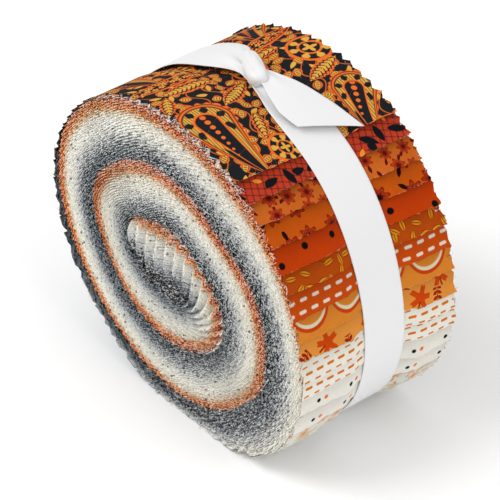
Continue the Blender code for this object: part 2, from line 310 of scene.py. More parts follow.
def colour(code):
    """A linear colour from a six-figure code."""
    parts = [int(code[k : k + 2], 16) / 255 for k in (0, 2, 4)]
    return tuple(
        c / 12.92 if c <= 0.04045 else ((c + 0.055) / 1.055) ** 2.4 for c in parts
    )


def towards(shades, code, share):
    """Rows of colours, each mixed towards one colour by its own share."""
    return shades + (np.array(colour(code)) - shades) * share[:, None]


def grid_mesh(name, grids, shades=None, print_places=None):
    """A mesh from grids of points in metres, (rows, columns, 3) each. Shades give every
    face a colour and a fleck strength, and print places every point its flat place."""
    faces = []
    first = 0
    for grid in grids:
        rows, columns = grid.shape[:2]
        index = first + np.arange(rows * columns).reshape(rows, columns)
        corners = [index[:-1, :-1], index[:-1, 1:], index[1:, 1:], index[1:, :-1]]
        faces.append(np.stack(corners, axis=-1).reshape(-1, 4))
        first += rows * columns
    faces = np.concatenate(faces)
    points = np.concatenate([grid.reshape(-1, 3) for grid in grids])
    mesh = bpy.data.meshes.new(name)
    mesh.from_pydata(points, [], faces, shade_flat=False)
    if shades is not None:
        layer = mesh.color_attributes.new("cloth", "FLOAT_COLOR", "CORNER")
        values = np.concatenate([shade.reshape(-1, 4) for shade in shades])
        layer.data.foreach_set("color", np.repeat(values, 4, axis=0).ravel())
    if print_places is not None:
        layer = mesh.uv_layers.new(name="cloth")
        layer.data.foreach_set("uv", (print_places[faces.ravel()] * MM).ravel())
    return mesh


def add_object(name, data):
    made = bpy.data.objects.new(name, data)
    bpy.context.scene.collection.objects.link(made)
    return made


def add_piece(mesh, material, replaces):
    """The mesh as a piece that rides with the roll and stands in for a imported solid."""
    piece = add_object(mesh.name, mesh)
    mesh.materials.append(material)
    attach(piece, "root")
    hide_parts(replaces)
    return piece


# The plies and their pinked edges

PATH_STEP = 0.5  # degrees turned between points of a ply's path

# How far the outermost ply has slid back over the one under it, so that the wrong side of
# the strip shows along one flank of its teeth
OUTER_PLY_SLIP = 3.1


class Ply:
    """One layer of cloth on one face: its path, and the teeth along it."""

    def __init__(self, number, side):
        self.number = number
        self.side = side
        self.strip = STRIP_COUNT - 1 - number // 2
        self.ends = end_turned(side * HALF_WIDTH)
        last = self.ends[self.strip]
        self.turned = np.append(np.arange(0, last, PATH_STEP), last)
        middle = stack_place(self.turned, (number + 0.5) / PLIES, self.ends)
        steps = np.hypot(*np.diff(middle, axis=0).T)
        self.run = np.r_[0.0, np.cumsum(steps)]
        slip = SLIP * number * ramp(self.turned, *SLIP_TURNED)
        loose = seeded(4000 + number).normal(0, LOOSE_SLIP)
        if number == PLIES - 1:
            loose += OUTER_PLY_SLIP
        slip += loose * ramp(self.turned, *LOOSE_TURNED)
        self.tooth_run = self.run + slip
        self.set_teeth()

    def set_teeth(self):
        """Places along the path and depths of the teeth's points and notches."""
        draws = seeded(1000 + self.number)
        strip_draws = seeded(2000 + self.strip)
        by_strip, by_ply, by_tooth = TOOTH_STRAY
        phase = strip_draws.normal(0, by_strip) + draws.normal(0, by_ply)
        half = TOOTH_PITCH / 2
        step = np.arange(1, int(self.tooth_run[-1] / half))
        place = phase + half * step + draws.normal(0, by_tooth, len(step))
        keep = (place > END_CLEAR) & (place < self.tooth_run[-1] - END_CLEAR)
        step, place = step[keep], place[keep]
        along = np.interp(place, self.tooth_run, self.run)
        depth = (step % 2) * TOOTH_DEPTH * draws.uniform(*TOOTH_EVEN, len(step))
        depth *= 1 - PRESSED * ramp(self.turned_at(along), *PRESSED_TURNED)
        if self.side > 0:
            depth *= FAR_TEETH
        wander = EDGE_UNEVEN * np.sin(place / EDGE_WAVE + strip_draws.uniform(0, 6.28))
        depth += strip_draws.uniform(*EDGE_BACK) + wander + EDGE_UNEVEN
        depth += draws.uniform(0, NOTCH_STRAY, len(step))
        self.along = np.r_[0.0, along, self.run[-1]]
        self.depth = np.r_[END_BACK, depth, END_BACK]

    def turned_at(self, along):
        return np.interp(along, self.run, self.turned)

    def depth_at(self, turned):
        along = np.interp(turned, self.turned, self.run)
        return np.interp(along, self.along, self.depth)


EDGE_COLOURS = [
    (strip, *np.ravel([colour(code) for code in codes.split()]), flecked)
    for strip, codes, flecked in EDGE_SHADES
]


def edge_shades(strip, turned, side):
    """Colours of a strip's printed side, wrong side and cut edge along it, with flecks."""
    # The tone is partly painted light: parts of the face made brighter or darker as light falls on
    # them
    warm_end, dark_end, tone = curve(SHADE_SHIFTS, turned).T
    inward = strip / (STRIP_COUNT - 1)
    values = curve(EDGE_COLOURS, strip + 1 + warm_end * (1 - inward) + dark_end * inward)
    core = 1 - ramp(turned, *CORE_TURNED)
    innermost = ramp(strip, *INNERMOST)
    last = inward * ramp(turned, *LAST_TURNED)
    off_left = np.cos(np.radians(START_ANGLE - turned - CALM_ANGLE))
    calm = CALM_INWARD * inward * (1 - innermost) * core
    calm += CALM_LEFT * np.clip(off_left, 0, 1) ** 2 + CALM_LAST * last
    tone = tone * (1 - DARK_LAST * last - DARK_CORE * innermost * core)
    fleck = values[:, 9:] * (1 - np.clip(calm, 0, 0.6)[:, None])
    shades = [values[:, k : k + 3] * tone[:, None] for k in (0, 3, 6)]
    if strip == 0:
        if side < 0:
            dark = hump(turned, *RIM_SHADE_TURNED)
            pale = 0.75 * hump(turned, *RIM_PALE_TURNED)
            shades[1:] = [towards(shade, RIM_PALE, pale) for shade in shades[1:]]
        else:
            dark = ramp(turned, *RIM_SHADE_TURNED[:2])
        shades = [towards(shade, RIM_SHADE, dark) for shade in shades]
        fleck = fleck * (1 - 0.6 * dark[:, None])
    return [np.concatenate([shade, fleck], axis=1) for shade in shades]


def ply_grid(ply, draws):
    """One ply's cut edge and two sides as four lines of points, and their shades."""
    side = ply.side
    turned = ply.turned_at(ply.along)
    spare = (1 - PLY_SHARE) / 2
    stray = draws.normal(0, PLY_STRAY, len(turned)) * ramp(turned, *STRAY_TURNED)
    inner = stack_place(turned, (ply.number + spare + stray) / PLIES, ply.ends)
    outer = stack_place(turned, (ply.number + 1 - spare + stray) / PLIES, ply.ends)
    edge_y = side * (HALF_WIDTH - ply.depth)
    floor_y = side * (HALF_WIDTH - FLANK)
    corners = ((inner, floor_y), (inner, edge_y), (outer, edge_y), (outer, floor_y))
    lines = [to_world(xz, y) for xz, y in corners]
    printed, wrong, cut = edge_shades(ply.strip, (turned[:-1] + turned[1:]) / 2, side)
    outer_printed = ply.number % 2 == 1
    shades = np.array([wrong, cut, printed] if outer_printed else [printed, cut, wrong])
    tone = draws.uniform(*TOOTH_TONES, shades.shape[:2] + (1,))
    shades[..., :3] *= 1 + (tone - 1) * (0.35 + 0.65 * shades[..., 3:])
    # Painted shade: in the core the teeth's flanks that face right, away from the light, are
    # darkened
    step = np.diff(inner, axis=0)
    facing = np.sign(np.diff(ply.depth)) * step[:, 0] / np.maximum(np.hypot(*step.T), 1e-6)
    facing *= 1 - ramp(turned[:-1], *SLIP_TURNED)
    shades[..., :3] *= 1 - PAINTED_FLANK_SHADE * facing[:, None]
    if side > 0:
        lines.reverse()
        shades = shades[::-1]
    return np.stack(lines), np.clip(shades, 0, 1)


# The pieces of a wound face: name, first ply, ply after the last
FACE_PARTS = (
    ("dark_strip_edges", 0, 24),
    ("pale_strip_edges", 24, 64),
    ("warm_strip_edges", 64, 80),
)


def make_faces(material):
    """The two wound faces, each in three pieces by the cloth's shade."""
    for side, word in ((-1, "front"), (1, "back")):
        for part, first, stop in FACE_PARTS:
            draws = seeded(first + 7)
            plies = [ply_grid(Ply(k, side), draws) for k in range(first, stop)]
            mesh = grid_mesh(f"{word}_{part}", *zip(*plies))
            add_piece(mesh, material, "fabric_roll")


# Frayed threads

THREADS = 220  # on each side's rim, and as many again on its face
THREAD_THICK = 0.14
THREAD_LENGTHS = (0.6, 1.3)
THREAD_SPREAD = 0.8  # how far their ways stray from straight off the face
THREAD_BEND = 0.7  # and how far they bend
THREAD_ROOTS_RIM = (0.5, 2.0)  # how far in from the strips' edges they begin
THREAD_ROOTS_FACE = (0.7, 1.6)
THREADS_FROM = 60.0  # degrees turned where those on the faces begin
THREADS_STOP = 4.0  # degrees before the stack's end where all of them stop
THREADS_END = HALF_WIDTH + 0.3  # how far out along the axis they reach
THREAD_SHADES = (RAW_WHITE, RAW_WHITE, "e0b594", "c8602c", "2c2f35")
RIM_THREADS = 2  # how many of those shades the rim's threads have
WARM_RIM_TURNED = 798.0  # from where on theirs start one shade later


def thread_grid(root, way, bend, length):
    """A short three-sided thread from its root, curving from one way to another."""
    share = np.linspace(0, 1, 4)[:, None]
    line = root + way * share * length + bend * share**2 * length * 0.6
    across = np.cross(way, bend)
    across /= np.linalg.norm(across)
    other = np.cross(way, across)
    corners = [across, -0.5 * across + 0.87 * other, -0.5 * across - 0.87 * other, across]
    return np.stack([line + 0.5 * THREAD_THICK * corner for corner in corners]) * MM


def make_threads(material):
    """Loose threads at the pinked edges: half of them round the rim."""
    for side, word in ((-1, "front"), (1, "back")):
        draws = seeded(77 + side)
        ends = end_turned(side * HALF_WIDTH)
        threads = []
        for k in range(2 * THREADS):
            on_rim = k % 2 == 0
            turned = draws.uniform(RIM_REACHED if on_rim else THREADS_FROM, ends[-1] - THREADS_STOP)
            share = 1.0 if on_rim else draws.uniform(0, 1) * stack_left(turned, ends)
            here = stack_place(np.array([turned]), share, ends)[0]
            depth = draws.uniform(*(THREAD_ROOTS_RIM if on_rim else THREAD_ROOTS_FACE))
            root = to_world(here, side * (HALF_WIDTH - depth)) / MM
            way = draws.normal(0, THREAD_SPREAD, 3) + np.array([0, 0.5 * side, 0])
            if on_rim:
                way += 0.1 * np.array([here[0], 0, here[1]]) / np.hypot(*here)
            way /= np.linalg.norm(way)
            length = draws.uniform(*THREAD_LENGTHS)
            grid = thread_grid(root, way, draws.normal(0, THREAD_BEND, 3), length)
            shade = draws.integers(RIM_THREADS if on_rim else len(THREAD_SHADES))
            shade += on_rim and turned > WARM_RIM_TURNED
            threads.append((grid, np.tile([*colour(THREAD_SHADES[shade]), 0.0], (3, 3, 1))))
        mesh = grid_mesh(word + "_frayed_threads", *zip(*threads))
        for point in mesh.vertices:
            point.co.y = min(max(point.co.y, -THREADS_END * MM), THREADS_END * MM)
            point.co.z = max(point.co.z, 0.0)
        add_piece(mesh, material, "fabric_roll")


# The strips' printed sides round the rim

UNDERLAP = 4.6  # degrees by which a strip runs on under the one above
END_FRAY = 0.15  # degrees by which a strip's cut end wanders
CUT_SHOWN = 0.35  # how far a strip's cut edge is turned down
NEAR_FLUTTER = (-0.1, 0.45)  # how far the pinked edges stand off the rim
FAR_FLUTTER = (0.0, 0.8)
FAR_RAGGED = 0.3  # how far the far edge's points stray along the axis
CURL = (0.3, 0.8)  # how far a strip's end stands off the strip below
CURL_UNEVEN = 0.2  # how far that wanders along the end, in slow waves
CURL_WAVE = 4.1
CURL_LENGTH = 2.2  # how fast it dies away from the end
CURL_FLAT = 0.6  # of it that is lost on the strips that come to lie flatter
FLAT_STRIPS = (26, 32)
SHARP_ANGLE = 50.0  # of the crease where a strip's cut edge turns down
EDGE_ROW = 2.7  # how far in the first row beside a pinked edge lies
SLOPE_ROW = 1.3  # and how far from the waist's slope the last one does
MEASURED_ROW = 8  # of a strip's rows, clear of its edges and of the waist
LAST_COLUMNS = (0.9, 0.35, 0.0)  # degrees from a strip's end
COLUMN_GAP = 0.3  # degrees that the columns at its teeth keep off the others at its ends


def waist_share(y):
    """How much of the waist a place along the axis takes, 1 under the ribbon."""
    return 1 - ramp(abs(y - RIBBON_Y), BAND_EDGE, BAND_EDGE + WAIST_SLOPE)


def strip_rows():
    """Places along the axis of a strip's rows, closer together at the waist."""
    slope = WAIST_SLOPE * np.array([0.0, 0.2, 0.4, 0.6, 0.8, 1.0])
    low = RIBBON_Y - BAND_EDGE - slope[::-1]
    high = RIBBON_Y + BAND_EDGE + slope
    under = RIBBON_Y + BAND_EDGE * np.array([-0.6, -0.2, 0.2, 0.6])
    near = np.linspace(-HALF_WIDTH + EDGE_ROW, low[0] - SLOPE_ROW, 12)
    far = np.linspace(high[-1] + SLOPE_ROW, HALF_WIDTH - EDGE_ROW, 8)
    return np.r_[-HALF_WIDTH, near, low, under, high, far, HALF_WIDTH]


def strip_patch(strip):
    """The part of a strip that shows on the rim: its grid of points, and for each the
    flat place on the cloth, from the strip's end and from its middle."""
    number = PLIES - 1 - 2 * strip
    near, far = Ply(number, -1), Ply(number, 1)
    draws = seeded(3000 + strip)
    rows = strip_rows()
    curl = draws.uniform(*CURL)
    curl += CURL_UNEVEN * np.sin(rows / CURL_WAVE + draws.uniform(0, 6.28))
    curl *= 1 - CURL_FLAT * ramp(strip, *FLAT_STRIPS)
    ends = [end_turned(y) for y in rows]
    starts = [end[strip - 1] if strip else RIM_REACHED for end in ends]
    stops = [end[strip] + draws.normal(0, END_FRAY) for end in ends]
    low, high = min(starts) - UNDERLAP, max(stops)
    teeth = np.r_[near.turned_at(near.along), far.turned_at(far.along)]
    last = high - np.array(LAST_COLUMNS)
    between = (teeth > low + COLUMN_GAP) & (teeth < last[0] - COLUMN_GAP)
    columns = np.r_[low, np.unique(teeth[between]), last]
    grid = np.zeros((len(rows), len(columns), 3))
    places = np.zeros((len(rows), len(columns), 2))
    for r, y in enumerate(rows):
        turned = np.clip(columns, starts[r] - UNDERLAP, stops[r])
        xz = stack_place(turned, (number + 1) / PLIES, ends[r])
        radius = np.hypot(xz[:, 0], xz[:, 1])
        waist = waist_share(y)
        from_end = np.radians(ends[r][strip] - turned) * radius
        lift = curl[r] * np.exp(-from_end / CURL_LENGTH) * (1 - waist) - WAIST * waist
        along = np.full(len(columns), y)
        if r == 0:
            lift += draws.uniform(*NEAR_FLUTTER, len(columns))
            along = near.depth_at(turned) - HALF_WIDTH
        elif r == len(rows) - 1:
            lift += draws.uniform(*FAR_FLUTTER, len(columns))
            ragged = draws.uniform(-FAR_RAGGED, FAR_RAGGED, len(columns))
            along = HALF_WIDTH - np.maximum(far.depth_at(turned) + ragged, 0)
        xz = xz * (1 + lift / radius)[:, None]
        xz[:, 1] = np.maximum(xz[:, 1], 0.5 * waist - AXIS_HEIGHT)
        grid[r] = to_world(xz, along)
        places[r, :, 0] = from_end
        places[r, :, 1] = along
    return grid, places


def make_strips():
    """Each strip's sheet, with its cut edge turned down towards the strip below."""
    for strip in range(STRIP_COUNT):
        grid, places = strip_patch(strip)
        out = grid[:, -1] - np.array([AXIS_X, 0, AXIS_HEIGHT]) * MM
        out[:, 1] = 0
        out /= np.linalg.norm(out, axis=1)[:, None]
        foot = grid[:, -1:] - (out * CUT_SHOWN * MM)[:, None]
        grid = np.concatenate([grid, foot], axis=1)
        places = np.concatenate([places, places[:, -1:] - [[[0.5, 0]]]], axis=1)
        places = places.reshape(-1, 2)
        mesh = grid_mesh(f"strip_{strip + 1:02d}", [grid], print_places=places)
        mesh.set_sharp_from_angle(angle=math.radians(SHARP_ANGLE))
        piece = add_piece(mesh, print_material(strip), "fabric_roll")
        length = np.linalg.norm(np.diff(grid[MEASURED_ROW], axis=0), axis=1).sum()


# The ribbon

KNOT_ANGLE = 93.0
BAND_RISE = 0.35  # of the band's middle over the drawn-in rim
BAND_FLOOR = 0.15 + RIBBON_THICK  # of its middle over the ground
PLEATS = 2.6  # in the band's width where it is gathered
PLEAT_DEPTH = 1.1

# The band beside the knot: degrees clockwise of the knot, where its near and far edges lie
# along the axis, and how far each stands off the rim
BAND_EDGES = (
    (-60, -4.65, 11.25, 0.0, 0.0),
    (-40, -4.65, 11.25, 0.5, 0.6),
    (-28, -4.50, 11.30, 1.1, 1.6),
    (-20, -4.10, 11.40, 1.2, 2.3),
    (-14, -3.50, 11.60, 1.4, 2.8),
    (-9.5, -2.70, 11.40, 1.7, 2.9),
    (-5, -1.00, 8.60, 1.5, 2.3),
    (-2, -0.20, 6.60, 1.4, 2.0),
    (0, 0.00, 6.00, 1.4, 1.7),
    (4, -0.60, 6.40, 1.2, 1.3),
    (10, -2.00, 8.80, 0.9, 0.9),
    (18, -3.90, 10.80, 0.4, 0.3),
    (30, -4.65, 11.25, 0.0, 0.0),
    (60, -4.65, 11.25, 0.0, 0.0),
)


def ribbon_piece(name, grid, along, material):
    """A welded grid of ribbon, (across, along, 3) in metres, with its satin's flat places."""
    across = np.linspace(0, RIBBON_WIDTH, len(grid))
    places = np.stack(np.meshgrid(along, across), axis=-1).reshape(-1, 2)
    mesh = grid_mesh(name, [grid], print_places=places)
    piece = add_piece(mesh, material, "ribbon_tie")
    join = piece.modifiers.new("join", "WELD")
    join.merge_threshold = 0.01 * MM
    return piece


def ribbon_sheet(name, grid, material):
    """A thick ribbon about its middle surface, and its length."""
    steps = np.linalg.norm(np.diff(grid[len(grid) // 2], axis=0), axis=1)
    along = np.r_[0.0, np.cumsum(steps)] / MM
    piece = ribbon_piece(name, grid, along, material)
    thick = piece.modifiers.new("thickness", "SOLIDIFY")
    thick.thickness = RIBBON_THICK * MM
    thick.offset = 0.0
    return piece, steps.sum()


def make_band(material, knot):
    """The ribbon round the roll, gathered into pleats under the knot."""
    angle = np.linspace(0, 360, 721)
    angle[-1] = 0.0
    across = np.linspace(0, 1, 33)[:, None]
    away = (KNOT_ANGLE - angle + 180) % 360 - 180
    low, high, low_off, high_off = curve(BAND_EDGES, away).T
    gather = 1 - (high - low) / RIBBON_WIDTH
    off = low_off + (high_off - low_off) * across
    folds = 2 * np.pi * PLEATS * across + 0.5 + np.radians(away) * 3
    pleat = PLEAT_DEPTH * gather * np.cos(folds)
    belly = 0.5 * off * (1 - (2 * across - 1) ** 2)
    slow = 0.05 * np.sin(np.radians(angle) * 9 + across * 3)
    radius = rim_radius(angle) - WAIST + BAND_RISE + off + belly + pleat + slow
    xz = polar(angle, radius)
    xz[..., 1] = np.maximum(xz[..., 1], BAND_FLOOR - AXIS_HEIGHT)
    grid = to_world(xz, low + (high - low) * across)
    piece, length = ribbon_sheet("ribbon_band", grid, material)


# The free end, from under the knot on: angle, its edges along the axis, height over the rim
FREE_END = (
    (93.0, 1.8, 5.6, 1.0), (88.0, 1.2, 7.0, 1.6), (84.0, 0.4, 7.9, 2.1),
    (80.0, -1.1, 9.6, 2.2), (76.0, -2.1, 11.4, 1.9), (72.0, -2.7, 13.0, 1.5),
    (67.3, -1.7, 14.9, 1.1), (62.0, 0.1, 16.5, 1.0), (57.0, 1.9, 18.2, 1.0),
)
FREE_END_STOP = 61.2
FREE_END_CUT = 8.6  # degrees from one corner of its cut end to the other
CREASE_FADE = 9.0  # degrees over which its creases die away from the knot
CREASES = 1.7
CREASE_DEPTH = 0.7


def make_free_end(material):
    """The one free end that shows, creased at the knot and lying on the rim."""
    start = FREE_END[0][0]
    across = np.linspace(0, 1, 33)[:, None]
    stop = FREE_END_STOP - FREE_END_CUT * (across - 0.5)
    angle = start + (stop - start) * np.linspace(0, 1, 80)
    low, high, height = np.moveaxis(curve(sorted(FREE_END), angle), -1, 0)
    crease = bell(start - angle, CREASE_FADE)
    fold = CREASE_DEPTH * crease * np.cos(2 * np.pi * CREASES * across + 0.6)
    cup = (0.35 + 0.6 * crease) * (1 - (2 * across - 1) ** 2)
    wave = 0.25 * np.sin((start - angle) * 0.17) * (across - 0.5)
    radius = rim_radius(angle) + height + cup + fold + wave
    grid = to_world(polar(angle, radius), low + (high - low) * across)
    piece, length = ribbon_sheet("ribbon_free_end", grid, material)


# The knot's wrap: where its middle lies, its half-sizes, and how far its long side is
# turned from the ribbon's run towards the wound face
KNOT_MIDDLE = (92.0, 4.2, 2.1)  # angle, along the axis, height over the rim
KNOT_HALF = (8.8, 3.3, 3.2)  # long, across, out
KNOT_SWELL = (0.78, 1.22)  # of its thickness, from the band's end to the other
KNOT_TURN = 27.0

# The creases along the wrap: where each runs round it, in degrees from the side towards the
# wound face over the top, how much further at its far end, its depth and its half-width
KNOT_CREASES = (
    (128.0, -34.0, 0.055, 8.0),
    (96.0, 26.0, 0.050, 7.0),
    (52.0, -20.0, 0.060, 8.0),
    (12.0, 24.0, 0.050, 8.0),
)


def make_knot(material):
    """The ribbon wrapped once over itself: a smooth slanting barrel with soft creases."""
    turn = np.linspace(0, 2 * np.pi, 145)
    turn[-1] = 0.0
    side = np.sin(np.linspace(-np.pi / 2, np.pi / 2, 49))[:, None]
    angle, y, height = KNOT_MIDDLE
    middle = float(rim_radius(angle)) + height
    slant = math.radians(KNOT_TURN)
    barrel = np.maximum(0, 1 - abs(side) ** 3.2) ** (1 / 2.6)
    barrel *= KNOT_SWELL[0] + (KNOT_SWELL[1] - KNOT_SWELL[0]) * (side + 1) / 2
    barrel *= 1 - 0.05 * bell(side - 0.3, 0.2)
    folds = 1 + 0.025 * np.cos(4 * turn + 3.5 * side)
    folds += 0.015 * np.cos(3 * turn - 6 * side + 1)
    for start, drift, deep, half in KNOT_CREASES:
        away = (np.degrees(turn) - start - drift * side + 180) % 360 - 180
        folds -= deep * bell(away, half)
    long_half, across_half, out_half = KNOT_HALF
    across_run = across_half * np.cos(turn) * barrel * folds
    out = out_half * np.sin(turn) * barrel * folds
    along_run = long_half * side * (1 + 0.06 * np.sin(turn) * barrel)
    clockwise = along_run * math.cos(slant) + across_run * math.sin(slant)
    to_face = along_run * math.sin(slant) - across_run * math.cos(slant)
    turned = angle - np.degrees(clockwise / middle)
    grid = to_world(polar(turned, middle + out), y - to_face)
    return ribbon_piece("ribbon_knot", grid, np.linspace(0, 24, len(turn)), material)


# Sums in materials


def feed(node, inputs):
    """Sets a node's inputs, or links them to a term or another node's socket."""
    for key, value in inputs.items():
        socket = node.inputs[key]
        source = getattr(value, "socket", value)
        if isinstance(source, bpy.types.NodeSocket):
            node.id_data.links.new(source, socket)
        elif socket.type == "RGBA":
            socket.default_value = (*value, 1)
        else:
            socket.default_value = value


def add_node(tree, kind, inputs, **settings):
    """A new node's outputs."""
    node = tree.nodes.new("ShaderNode" + kind)
    for name, value in settings.items():
        setattr(node, name, value)
    feed(node, inputs)
    return node.outputs


class Term:
    """A number worked out by a material's nodes, so that its sums read as formulas."""

    def __init__(self, tree, socket):
        self.tree = tree
        self.socket = socket

    def sum(self, operation, *others, clamp=False):
        inputs = dict(enumerate((self, *others)))
        made = add_node(self.tree, "Math", inputs, operation=operation, use_clamp=clamp)
        return Term(self.tree, made[0])

    __add__ = partialmethod(sum, "ADD")
    __sub__ = partialmethod(sum, "SUBTRACT")
    __mul__ = partialmethod(sum, "MULTIPLY")
    __truediv__ = partialmethod(sum, "DIVIDE")
    times_plus = partialmethod(sum, "MULTIPLY_ADD")
    size = partialmethod(sum, "ABSOLUTE")
    lower_of = partialmethod(sum, "MINIMUM")
    higher_of = partialmethod(sum, "MAXIMUM")

    def repeat(self, middle, period):
        """How far it is from the nearest of evenly spaced middles."""
        shifted = self - middle if middle else self
        return shifted.sum("WRAP", period / 2, -period / 2)

    def below(self, limit, soft=0.2):
        """1 below a limit and 0 above it, with a soft edge."""
        return self.sum("MULTIPLY_ADD", -1 / soft, limit / soft + 0.5, clamp=True)

    def above(self, limit, soft):
        return self.sum("MULTIPLY_ADD", 1 / soft, 0.5 - limit / soft, clamp=True)

    def between(self, low, high, soft):
        return self.above(low, soft) * self.below(high, soft)


def hypot(x, y):
    return x.times_plus(x, y * y).sum("SQRT")


def turned_by(x, y, degrees):
    """The pair seen from axes turned by a fixed angle."""
    c, s = math.cos(math.radians(degrees)), math.sin(math.radians(degrees))
    return x.times_plus(c, y * s), y.times_plus(c, x * -s)


MIX_COLOURS = (6, 7)  # the mix node's sockets for its two colours, and for their mix
MIX_RESULT = 2


def mix_colours(tree, factor, *colours):
    """One colour into another: each a socket or a fixed linear colour."""
    inputs = {"Factor": factor, **dict(zip(MIX_COLOURS, colours))}
    return add_node(tree, "Mix", inputs, data_type="RGBA")[MIX_RESULT]


def tinted(tree, shade, tint):
    """A colour's socket times a fixed tint."""
    return add_node(tree, "VectorMath", {0: shade, 1: tint}, operation="MULTIPLY")[0]


DYE_TONE = 0.86


def dyed(code):
    """A printed colour, darkened because the room's light is bright."""
    return tuple(DYE_TONE * c for c in colour(code))


class Paint:
    """A print on the flat cloth, built up by laying one colour over another."""

    def __init__(self, tree, codes):
        self.tree = tree
        self.place = cloth_place(tree)
        self.colours = [dyed(code) for code in codes.split()]
        self.top = self.colours[0]

    def lay(self, index, mask):
        self.top = mix_colours(self.tree, mask, self.top, self.colours[index])

    ground = partialmethod(lay, 0)
    first = partialmethod(lay, 1)
    second = partialmethod(lay, 2)


def cloth_place(tree):
    """The place on the flat cloth in millimetres: along the strip, and across it."""
    place = add_node(tree, "UVMap", {}, uv_map="cloth")["UV"]
    parts = add_node(tree, "SeparateXYZ", {0: place})
    return [Term(tree, parts[axis]) * (1 / MM) for axis in "XY"]


def scatter(paint, cell, seed, spread=0.8):
    """Motifs strewn about, each turned its own way: the place from the nearest one's
    middle, and a number that differs from motif to motif."""
    tree = paint.tree
    u, v = paint.place
    place = add_node(tree, "CombineXYZ", {"X": u + seed * 13.7, "Y": v + seed * 5.3})[0]
    grain = {"Vector": place, "Scale": 1 / cell, "Randomness": spread}
    cells = add_node(tree, "TexVoronoi", grain, voronoi_dimensions="2D")
    away = add_node(tree, "VectorMath", {0: place, 1: cells["Position"]}, operation="SUBTRACT")
    tints = add_node(tree, "SeparateColor", {0: cells["Color"]})
    turn = {"Vector": away[0], "Angle": Term(tree, tints[0]) * 6.283}
    turned = add_node(tree, "VectorRotate", turn, rotation_type="Z_AXIS")[0]
    parts = add_node(tree, "SeparateXYZ", {0: turned})
    return Term(tree, parts["X"]), Term(tree, parts["Y"]), Term(tree, tints[1])


def drop(x, y, length, width, bend):
    """1 on the outline of a teardrop, less inside it: its round head at the origin, its
    tip at +x, its tail bent to one side; and how far along it is, from 0 to 1."""
    along = (x / length).sum("ADD", 0.0, clamp=True)
    y = along.times_plus(along * bend, y)
    half = (along * -0.97 + 1.0).sum("POWER", 0.85) * width
    return hypot(x.lower_of(0.0), y) / half, along


def leaf(x, y, length, width):
    """1 on the outline of a leaf pointed at both ends, less inside it."""
    half = (x * x).times_plus(-width / (length * length), width).higher_of(0.01)
    return y.size() / half


def lobes(x, y, count):
    """A wave round the origin."""
    return (y.sum("ARCTAN2", x) * float(count)).sum("COSINE")


def flower(x, y, petals, depth=0.22):
    """Distance from a flower's middle, drawn in between its petals."""
    return hypot(x, y) / lobes(x, y, petals).times_plus(depth, 1.0)


# The prints: each lays its motifs in the strip's two motif colours


def lattice(paint):
    """Fine crossing lines, with dark sprigs and small bright drops."""
    u, v = paint.place
    a, b = turned_by(u, v, 24)
    paint.first(a.repeat(0, 2.3).size().below(0.2, 0.3) * 0.6)
    paint.first(b.repeat(0, 2.0).size().below(0.2, 0.3) * 0.6)
    x, y, pick = scatter(paint, 6.2, 3)
    paint.first(leaf(x - 0.6, y, 3.2, 1.3).below(1.0) * pick.below(0.6, 0.01))
    paint.second(leaf(x, y, 1.6, 0.7).below(1.0) * pick.above(0.6, 0.01))


def rosettes(paint, cell=6.6):
    """Round flowers with a ring of petals and a dark eye."""
    x, y, pick = scatter(paint, cell, 5, 0.55)
    r = flower(x, y, 7) / pick.times_plus(0.25, 0.8)
    size = cell * 0.36
    paint.first(r.below(size, 0.3))
    paint.ground(r.between(size * 0.62, size * 0.78, 0.25) * 0.4)
    paint.second(r.below(size * 0.34, 0.25))
    far = leaf(x - size * 1.25, y, size * 0.55, size * 0.22)
    paint.second(far.below(1.0))


def large_rosettes(paint):
    """The same flowers, half as large again."""
    rosettes(paint, 9.5)


def sparse_dots(paint):
    """A few round dots."""
    x, y, _ = scatter(paint, 11.0, 8, 0.7)
    paint.first(hypot(x, y).below(1.1, 0.3))


def sprigs(paint):
    """Small leaves with a vein, strewn about."""
    x, y, pick = scatter(paint, 4.4, 2, 0.75)
    f = leaf(x, y, 2.1, 0.85)
    some = pick.below(0.85, 0.01)
    paint.second(f.below(1.25) * some)
    paint.first(f.below(0.95) * some)
    paint.second(y.size().below(0.12) * f.below(0.9))


def dashes(paint):
    """Staggered rows of short dashes that run across the strip."""
    u, v = paint.place
    row = (u / 3.45).sum("FLOOR")
    across = (v + row * -1.5).repeat(-26.8, 4.6).size() - 0.8
    paint.first(hypot(u.repeat(1.85, 3.45), across.higher_of(0.0)).below(0.5, 0.3))


def dash_rows(paint):
    """Rows of thick dashes and, between them, rows of thin ones."""
    u, v = paint.place
    thick = (v.repeat(-6.6, 4.2).size() - 0.9).higher_of(0.0)
    paint.first(hypot(u.repeat(2.8, 4.6), thick).below(0.47))
    thin = (v.repeat(-8.0, 4.2).size() - 0.8).higher_of(0.0)
    paint.second(hypot(u.repeat(5.1, 4.6), thin).below(0.27))


def crescents(paint):
    """A pale crescent in the hollow of a bright one."""
    u, v = paint.place
    x = u.repeat(9.3, 15.0)
    y = v.repeat(-24.2, 15.5)
    paint.second(hypot(x + 0.2, y).below(7.3, 0.3) * hypot(x - 0.6, y).above(6.9, 0.3))
    paint.first(hypot(x, y).below(6.3, 0.3) * hypot(x - 0.9, y).above(6.1, 0.3))


def leaves(paint):
    """Lobed leaves, and branches with leaves in pairs."""
    x, y, pick = scatter(paint, 9.0, 6, 0.5)
    outline = flower(x, y, 5, 0.42) / flower(x, y, 15, 0.1) * hypot(x, y)
    lobed = pick.above(0.5, 0.01)
    paint.second(outline.below(2.9, 0.3) * lobed)
    paint.first((x + 2.8).size().below(1.4) * y.size().below(0.3, 0.25) * lobed)
    branch = pick.below(0.5, 0.01) * x.size().below(3.2)
    a, b = turned_by(x.repeat(0.0, 1.6) - 0.3, y.size() - 0.9, 50)
    paint.first(leaf(a, b, 1.1, 0.55).below(1.0) * branch)
    paint.first(y.size().below(0.16, 0.15) * branch)


